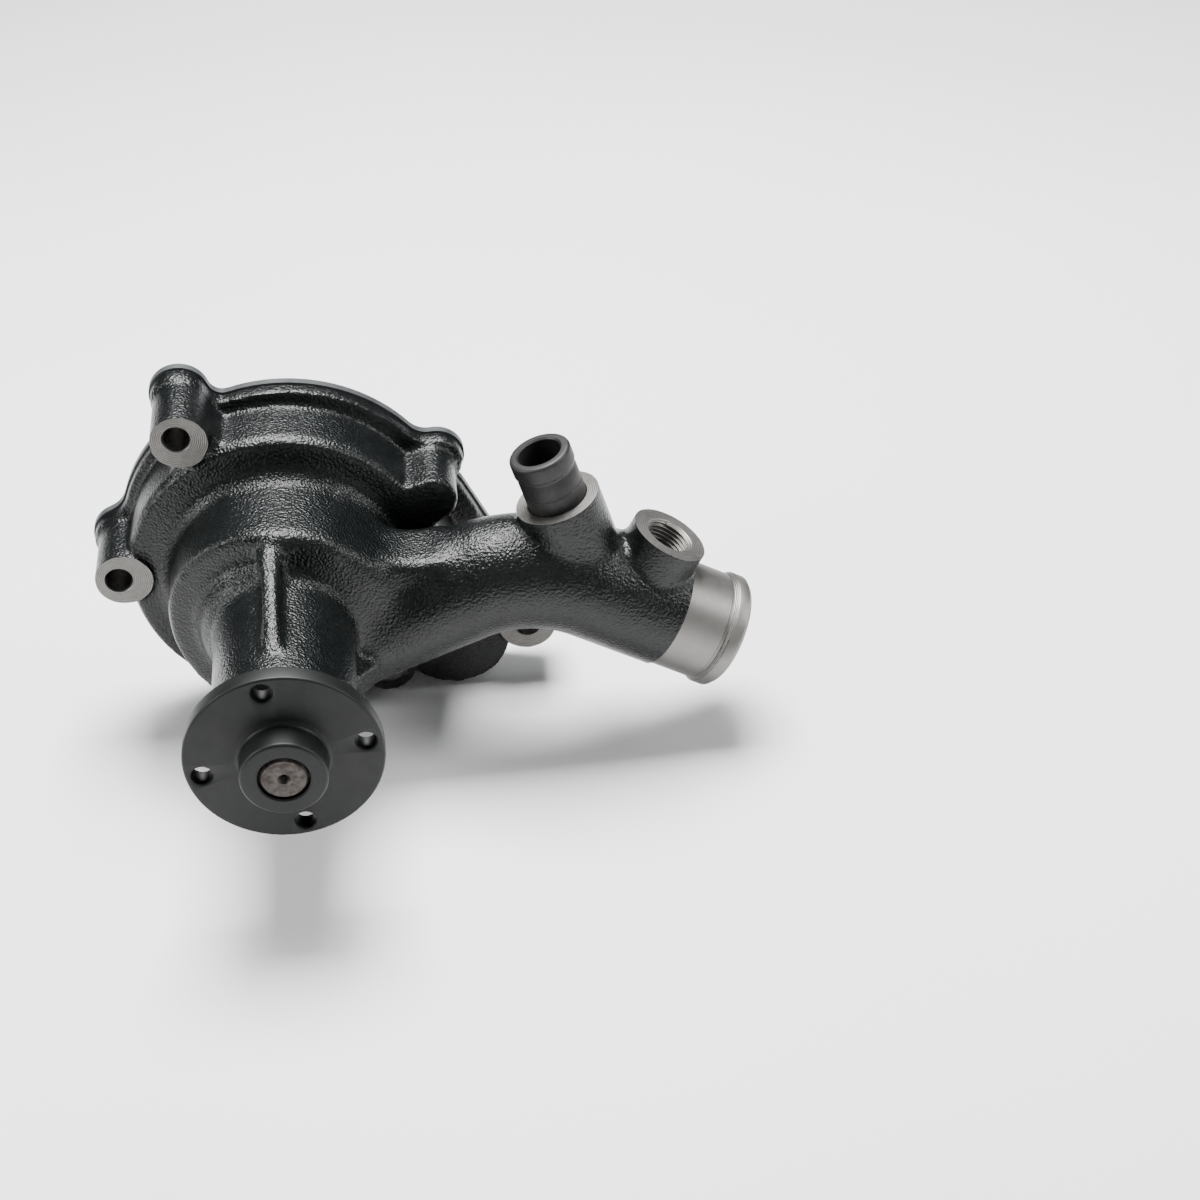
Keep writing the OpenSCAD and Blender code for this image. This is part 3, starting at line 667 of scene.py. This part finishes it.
def ribbon(name, stations):
    """A bar with a flat back: each station is a centre, a half width and a half thickness, in
    millimetres, joined one to the next. The bar's sides face along the X axis."""
    (centre, wide, thick) = stations[0]
    bpy.ops.object.select_all(action="DESELECT")
    bpy.ops.mesh.primitive_plane_add(size=2 * MM, location=[c * MM for c in centre])
    piece = bpy.context.object
    piece.name = name
    bpy.ops.object.mode_set(mode="EDIT")
    bpy.ops.mesh.select_all(action="SELECT")
    bpy.ops.transform.resize(value=(wide, thick, 1), center_override=[c * MM for c in centre])
    for c2, w2, t2 in stations[1:]:
        step = [(b - a) * MM for a, b in zip(centre, c2)]
        bpy.ops.mesh.extrude_region_move(TRANSFORM_OT_translate={"value": step})
        bpy.ops.transform.resize(
            value=(w2 / wide, t2 / thick, 1), center_override=[c * MM for c in c2]
        )
        centre, wide, thick = c2, w2, t2
    bpy.ops.object.mode_set(mode="OBJECT")
    bpy.ops.object.transform_apply(location=True, rotation=True, scale=True)
    close(piece)
    return piece


def top_rib():
    """The rib along the top of the snout: narrow in the middle and wider where it meets the snout
    and the chamber's ridge. Its stations run from the snout up to the ridge."""
    foot, crest = (24.6, 113.0), (37.2, 69.0)
    shares = ((0, 5.6), (0.12, 4.2), (0.3, 3.0), (0.55, 2.7), (0.78, 3.3), (0.92, 4.8), (1, 7.0))
    stations = []
    for share, half in shares:
        z = foot[0] + share * (crest[0] - foot[0])
        h = foot[1] + share * (crest[1] - foot[1])
        stations.append(((-0.8, -h, z - 3), half, 3))
    return ribbon("top rib", stations)


def machined_cutter(name, profile, at, axis, finish_name, pitch=0.7, hollow=False):
    """A cutter that leaves its own turned finish on the faces that it cuts."""
    cutter = turned(name, profile, at, axis, hollow=hollow)
    paint(cutter, machined_iron(finish_name, Vector(at), axis, pitch))
    return cutter


def bolt_cutters():
    """Spot faces and drilled holes of the four mounting bosses."""
    cutters = []
    for name, top, spot in (
        ("top_bolt_hole", BOSS_H, BOSS_R + 3),
        ("left_bolt_hole", BOSS_H, BOSS_R + 3),
        ("inner_port_bolt_hole", LUG_H, 7.5),
        ("outer_port_bolt_hole", LUG_H, BOSS_R + 2.5),
    ):
        profile = [
            (BOLT_R, BASE_H - 3),
            (BOLT_R, top - 0.35),
            (BOLT_R + 0.35, top),
            (spot, top),
            (spot, top + CLEAR),
        ]
        at = forward(place(name), 0)
        cutters.append(machined_cutter(name, profile, at, FRONT, "spot-faced iron " + name))
    return cutters


def snout_cutter():
    """The stepped bore for the seal, the slinger and the bearing, the circlip's groove and the
    snout's faced end, cut in one setting about the shaft."""
    groove_h = BEARING_TOP_H + 0.05
    profile = [
        (SEAL_BORE_R, SEAL_SEAT_H - 0.2),
        (SEAL_BORE_R, SEAL_TOP_H),
        (SHAFT_R + 5.04, SEAL_TOP_H),
        (SHAFT_R + 5.04, CHAMBER_H),
        (BEARING_R - 2.5, CHAMBER_H),
        (BEARING_R - 2.5, BEARING_H),
        (BEARING_R, BEARING_H),
        (BEARING_R, groove_h),
        (BEARING_R + 1.2, groove_h),
        (BEARING_R + 1.2, groove_h + 1.6),
        (BEARING_R, groove_h + 1.6),
        (BEARING_R, SNOUT_TOP_H - 0.5),
        (BEARING_R + 0.5, SNOUT_TOP_H),
        (SNOUT_R + 6, SNOUT_TOP_H),
        (SNOUT_R + 6, SNOUT_TOP_H + CLEAR),
    ]
    return machined_cutter("snout cutter", profile, (0, 0, 0), FRONT, "bored and faced iron")


def hose_end_cutter():
    """Turns the hose end: a plain land, a groove, the bead and the end face."""
    out = PIPE_R + 6.5
    profile = [
        (BORE_R - 0.6, -5),
        (BORE_R, -0.8),
        (BORE_R + 0.8, 0),
        (BEAD_R - 1.1, 0),
        (BEAD_R, -1.3),
        (BEAD_R, -5.0),
        (BEAD_R - 0.5, -5.7),
        (HOSE_END_R, -6.2),
        (HOSE_END_R - 0.45, -6.6),
        (HOSE_END_R - 0.45, -7.4),
        (HOSE_END_R, -7.8),
        (HOSE_END_R, -HOSE_END_LEN),
        (out, -HOSE_END_LEN),
        (out, CLEAR),
        (BORE_R - 0.6, CLEAR),
    ]
    return machined_cutter(
        "hose end cutter",
        profile,
        PIPE_END,
        direction("inlet_hose_bead"),
        "turned iron hose end",
        0.5,
        hollow=True,
    )


def tube_seat_cutter():
    """Faces the tube's boss and bores its seat, then drills through to the pipe."""
    profile = [
        (TUBE_BORE_R, -34),
        (TUBE_BORE_R, -TUBE_SINK),
        (TUBE_R, -TUBE_SINK),
        (TUBE_R, -0.4),
        (TUBE_R + 0.4, 0),
        (17.5, 0),
        (17.5, CLEAR),
    ]
    return machined_cutter(
        "tube seat cutter", profile, TUBE_FACE, direction("bypass_hose_collar"), "faced iron tube seat"
    )


def sensor_port_cutter():
    """Faces the sensor's boss and bores it for its thread, then drills through to the pipe."""
    profile = [
        (radius("sensor_port"), -20),
        (radius("sensor_port"), -13),
        (SENSOR_MAJOR_R, -12.2),
        (SENSOR_MAJOR_R, -0.9),
        (SENSOR_MAJOR_R + 0.9, 0),
        (16.5, 0),
        (16.5, CLEAR),
    ]
    return machined_cutter(
        "sensor port cutter", profile, SENSOR_FACE, direction("sensor_port"), "faced iron sensor port"
    )


def weep_hole_cutter():
    """Drills the hole under the slinger that lets out what leaks past the seal."""
    at = Vector((0, -(CHAMBER_H + 3.5) * MM, 0))
    return machined_cutter(
        "weep hole cutter",
        [(2.5, BEARING_R - 4), (2.5, SNOUT_R + 9)],
        at,
        Vector((0, 0, -1)),
        "drilled iron",
    )


def mating_face_cutter():
    """Mills the mounting face flat."""
    return machined_cutter(
        "mating face cutter",
        [(160, -6), (160, BASE_H)],
        (0, 0, 0),
        FRONT,
        "milled iron mounting face",
        1.2,
    )


def cast_housing():
    """The housing as it is made: cast rough with metal left on, then machined."""
    rough = copy_of("pump_housing")
    faces = [
        (forward(Vector((0, 0, 0)), BASE_H), BACK, 150),
        (forward(boss_centre("top_bolt_hole"), BOSS_H), FRONT, 12),
        (forward(boss_centre("left_bolt_hole"), BOSS_H), FRONT, 12),
        (forward(place("inner_port_bolt_hole"), LUG_H), FRONT, 12),
        (forward(place("outer_port_bolt_hole"), LUG_H), FRONT, 12),
        (forward(Vector((0, 0, 0)), SNOUT_TOP_H), FRONT, 30),
        (TUBE_FACE, direction("bypass_hose_collar"), 17),
        (SENSOR_FACE, direction("sensor_port"), 16),
        (PIPE_END, direction("inlet_hose_bead"), 22),
    ]
    for face, axis, reach in faces:
        stock(rough, face, axis, reach, ALLOWANCE)
    casting = join([rough, rough_hose_end(), drum_root(), top_rib()] + hole_plugs())
    casting.name = casting.data.name = "housing_casting"
    paint(casting, PAINT)
    modify(casting, "REMESH", mode="VOXEL", voxel_size=VOXEL * MM, adaptivity=0)
    round_off(casting)
    modify(casting, "DECIMATE", ratio=0.42)
    cutters = bolt_cutters()
    cutters += [snout_cutter(), hose_end_cutter(), tube_seat_cutter(), sensor_port_cutter()]
    cutters += [weep_hole_cutter(), mating_face_cutter()]
    machine(casting, cutters)
    return finished(casting, "pump_body", None, ["pump_housing"], 40)


def round_off(casting):
    """Rounds every edge of the rough casting, and the roots of the snout and the pipe much more."""

    def everywhere(point):
        return True

    def snout_root(point):
        h, r = -point.y / MM, math.hypot(point.x, point.z) / MM
        return CHAMBER_H - 12 < h < CHAMBER_H + 9 and SNOUT_R - 3 < r < SNOUT_R + 7

    def drum_front(point):
        h, r = -point.y / MM, math.hypot(point.x, point.z) / MM
        return CHAMBER_H - 14 < h < CHAMBER_H + 4 and SNOUT_R + 3 < r < DRUM_R + 3

    def boss_roots(point):
        from_tube = (point - TUBE_FACE).dot(direction("bypass_hose_collar")) / MM
        from_sensor = (point - SENSOR_FACE).dot(direction("sensor_port")) / MM
        return point.x > 0.07 and -30 < from_tube < -9 and from_sensor < -7

    def crook(point):
        h = -point.y / MM
        return 0.022 < point.x < 0.066 and -0.008 < point.z < 0.045 and 34 < h < 73

    soften(casting, everywhere, 4)
    soften(casting, crook, 40)
    soften(casting, snout_root, 16)
    soften(casting, drum_front, 8)
    soften(casting, boss_roots, 14)


cast_housing()


# ---- The other pieces ----------------------------------------------------------

HUB_CLOCK = 8
BARREL_H = -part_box("drive_hub")[1].y / MM
SPRING_TURNS = 5
WIRE_R = 0.75


def drive_hub():
    """The hub: a barrel pressed on the shaft, a flange with four holes, and the pulley's pilot.
    Its turned edges are broken, and the shaft's end stands in a shallow relief."""
    barrel_r = BEARING_R - 3.5
    profile = [(SHAFT_R, BARREL_H), (barrel_r - 1, BARREL_H), (barrel_r, BARREL_H + 1)]
    profile += arc(barrel_r + 1.5, HUB_BACK_H - 1.5, 1.5, 180, 90)
    profile += arc(HUB_R - 0.8, HUB_BACK_H + 0.8, 0.8, 270, 360)
    profile += arc(HUB_R - 0.9, HUB_FACE_H - 0.9, 0.9, 0, 90)
    profile += arc(PILOT_R + 1.8, HUB_FACE_H + 1.8, 1.8, 270, 180)
    profile += arc(PILOT_R - 1.2, PILOT_TOP_H - 1.2, 1.2, 0, 90)
    profile += [(SHAFT_R + 1.0, PILOT_TOP_H), (SHAFT_R + 0.55, PILOT_TOP_H - 0.45)]
    profile += [(SHAFT_R + 0.55, PILOT_TOP_H - 3), (SHAFT_R, PILOT_TOP_H - 3)]
    hub = turned("drive_hub_detail", profile, sides=144, hollow=True)
    paint(hub, BLACK_OXIDE)
    holes = MOUNTS["pulley_holes"]["dims"]
    r = holes["hole_r_mm"]
    for k in range(holes["count"]):
        angle = math.radians(HUB_CLOCK + 360 / holes["count"] * k)
        pitch_r = holes["pcd_mm"] / 2 * MM
        at = (pitch_r * math.cos(angle), 0, pitch_r * math.sin(angle))
        edge = [(r, HUB_BACK_H - 2), (r, HUB_FACE_H - 0.8)]
        edge += [(r + 0.25, HUB_FACE_H - 0.3), (r + 0.8, HUB_FACE_H), (r + 0.8, HUB_FACE_H + 2)]
        cutter = turned("hub hole cutter", edge, at, sides=48)
        paint(cutter, BLACK_OXIDE)
        machine(hub, [cutter])
    return finished(hub, "rotor", None, ["drive_hub"], 30)


def bypass_tube():
    """The bypass tube pressed into its seat, with a groove and a collar that hold the hose."""
    tube_len = 20
    neck_r = TUBE_R - 0.4
    collar_r = radius("bypass_hose_collar")
    profile = [(TUBE_BORE_R, -TUBE_SINK), (TUBE_R - 0.6, -TUBE_SINK), (TUBE_R, 0.6 - TUBE_SINK)]
    profile += [(TUBE_R, 5.4), (TUBE_R - 0.12, 5.6), (TUBE_R - 0.12, 6.0), (TUBE_R, 6.2)]
    profile += [(TUBE_R, tube_len - 9), (neck_r, tube_len - 8), (neck_r, tube_len - 7.2)]
    profile += arc(collar_r - 1.2, tube_len - 5.6, 1.2, -50, 0, 4)
    profile += arc(collar_r - 1.3, tube_len - 1.3, 1.3, 0, 90)
    profile += [(TUBE_BORE_R + 0.6, tube_len), (TUBE_BORE_R, tube_len - 0.6)]
    tube = turned(
        "bypass_tube_detail", profile, TUBE_FACE, direction("bypass_hose_collar"), hollow=True
    )
    return finished(tube, "pump_body", PHOSPHATE, ["bypass_tube"], 30)


def coil(name, centre_r, start, pitch, turns, section_r, corners, at, axis, steps=64):
    """Winds a small round or three-cornered section about an axis."""
    bpy.ops.object.select_all(action="DESELECT")
    bpy.ops.mesh.primitive_circle_add(
        vertices=corners,
        radius=section_r * MM,
        fill_type="NOTHING",
        location=(centre_r * MM, 0, start * MM),
        rotation=(math.radians(90), math.radians(-90), 0),
    )
    piece = bpy.context.object
    piece.name = piece.data.name = name
    bpy.ops.object.transform_apply(location=True, rotation=True)
    modify(
        piece,
        "SCREW",
        axis="Z",
        angle=2 * math.pi,
        screw_offset=pitch * MM,
        iterations=turns,
        steps=steps,
        render_steps=steps,
        use_normal_calculate=True,
    )
    close(piece)
    return settle(piece, at, axis)


def sensor_thread():
    """The thread inside the sensor port."""
    pitch, turns = 1.5, 8
    thread = coil(
        "sensor_port_thread",
        SENSOR_MAJOR_R + 0.1,
        -pitch * turns - 0.6,
        pitch,
        turns,
        0.86,
        3,
        SENSOR_FACE,
        direction("sensor_port"),
    )
    finish = machined_iron("cut iron thread", SENSOR_FACE, direction("sensor_port"))
    finished(thread, "pump_body", finish)


def squashed(piece):
    """Gives the piece a mesh of its own."""
    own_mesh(piece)


def seal_spring():
    """The coil spring that pushes the carbon ring on the ceramic one."""
    low, high = (-corner.y / MM for corner in reversed(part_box("seal_spring")))
    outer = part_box("seal_spring")[1].x / MM
    rise = high - low - 2 * WIRE_R
    spring = coil(
        "seal_spring_detail",
        outer - WIRE_R,
        low + WIRE_R,
        rise / SPRING_TURNS,
        SPRING_TURNS,
        WIRE_R,
        16,
        (0, 0, 0),
        FRONT,
    )
    paint(spring, SPRING_STEEL)
    shade(spring)
    squashed(spring)
    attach(spring, "pump_body")
    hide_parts("seal_spring")


def seal_bellows():
    """The rubber bellows behind the carbon ring, folded once."""
    b, t = (-corner.y / MM for corner in reversed(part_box("seal_bellows")))
    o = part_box("seal_bellows")[1].x / MM
    i = o - 4.4
    m = (b + t) / 2
    profile = [(i, b), (o - 0.4, b), (o, b + 0.4), (o, b + 1.2), (o - 0.4, b + 1.6)]
    profile += arc(o - 1.2, m, 1.4, 245, 115)
    profile += [(o - 0.4, t - 1.6), (o, t - 1.2), (o, t - 0.4), (o - 0.4, t), (i, t)]
    profile += [(i, t - 1.2), (o - 1.8, t - 2)] + arc(i + 0.9, m, 0.7, 115, 245, 4)
    profile += [(o - 1.8, b + 2), (i, b + 1.2)]
    bellows = turned("seal_bellows_detail", profile, hollow=True)
    paint(bellows, RUBBER)
    shade(bellows, 50)
    squashed(bellows)
    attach(bellows, "pump_body")
    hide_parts("seal_bellows")


def cad_finishes():
    """Pieces whose CAD shape is right keep it and take their finish."""
    finishes = {
        "rear_cover": COVER_STEEL,
        "cover_gasket": GASKET,
        "cover_screws": ZINC,
        "mounting_gasket": GASKET,
        "bearing_circlip": SPRING_STEEL,
        "bearing_outer_ring": RING_STEEL,
        "front_bearing_seal": RUBBER,
        "rear_bearing_seal": RUBBER,
        "front_bearing_balls": BALL_STEEL,
        "rear_bearing_balls": BALL_STEEL,
        "front_ball_cage": NYLON,
        "rear_ball_cage": NYLON,
        "pump_shaft": SHAFT_STEEL,
        "slinger": RUBBER,
        "impeller": RAW_IRON,
        "mating_ring": CERAMIC,
        "mating_ring_boot": RUBBER,
        "seal_shell": BRASS,
        "carbon_ring": CARBON,
    }
    for node, finish in finishes.items():
        for slot in frame["nodes"][node].material_slots:
            slot.material = finish


drive_hub()
bypass_tube()
sensor_thread()
seal_spring()
seal_bellows()
cad_finishes()
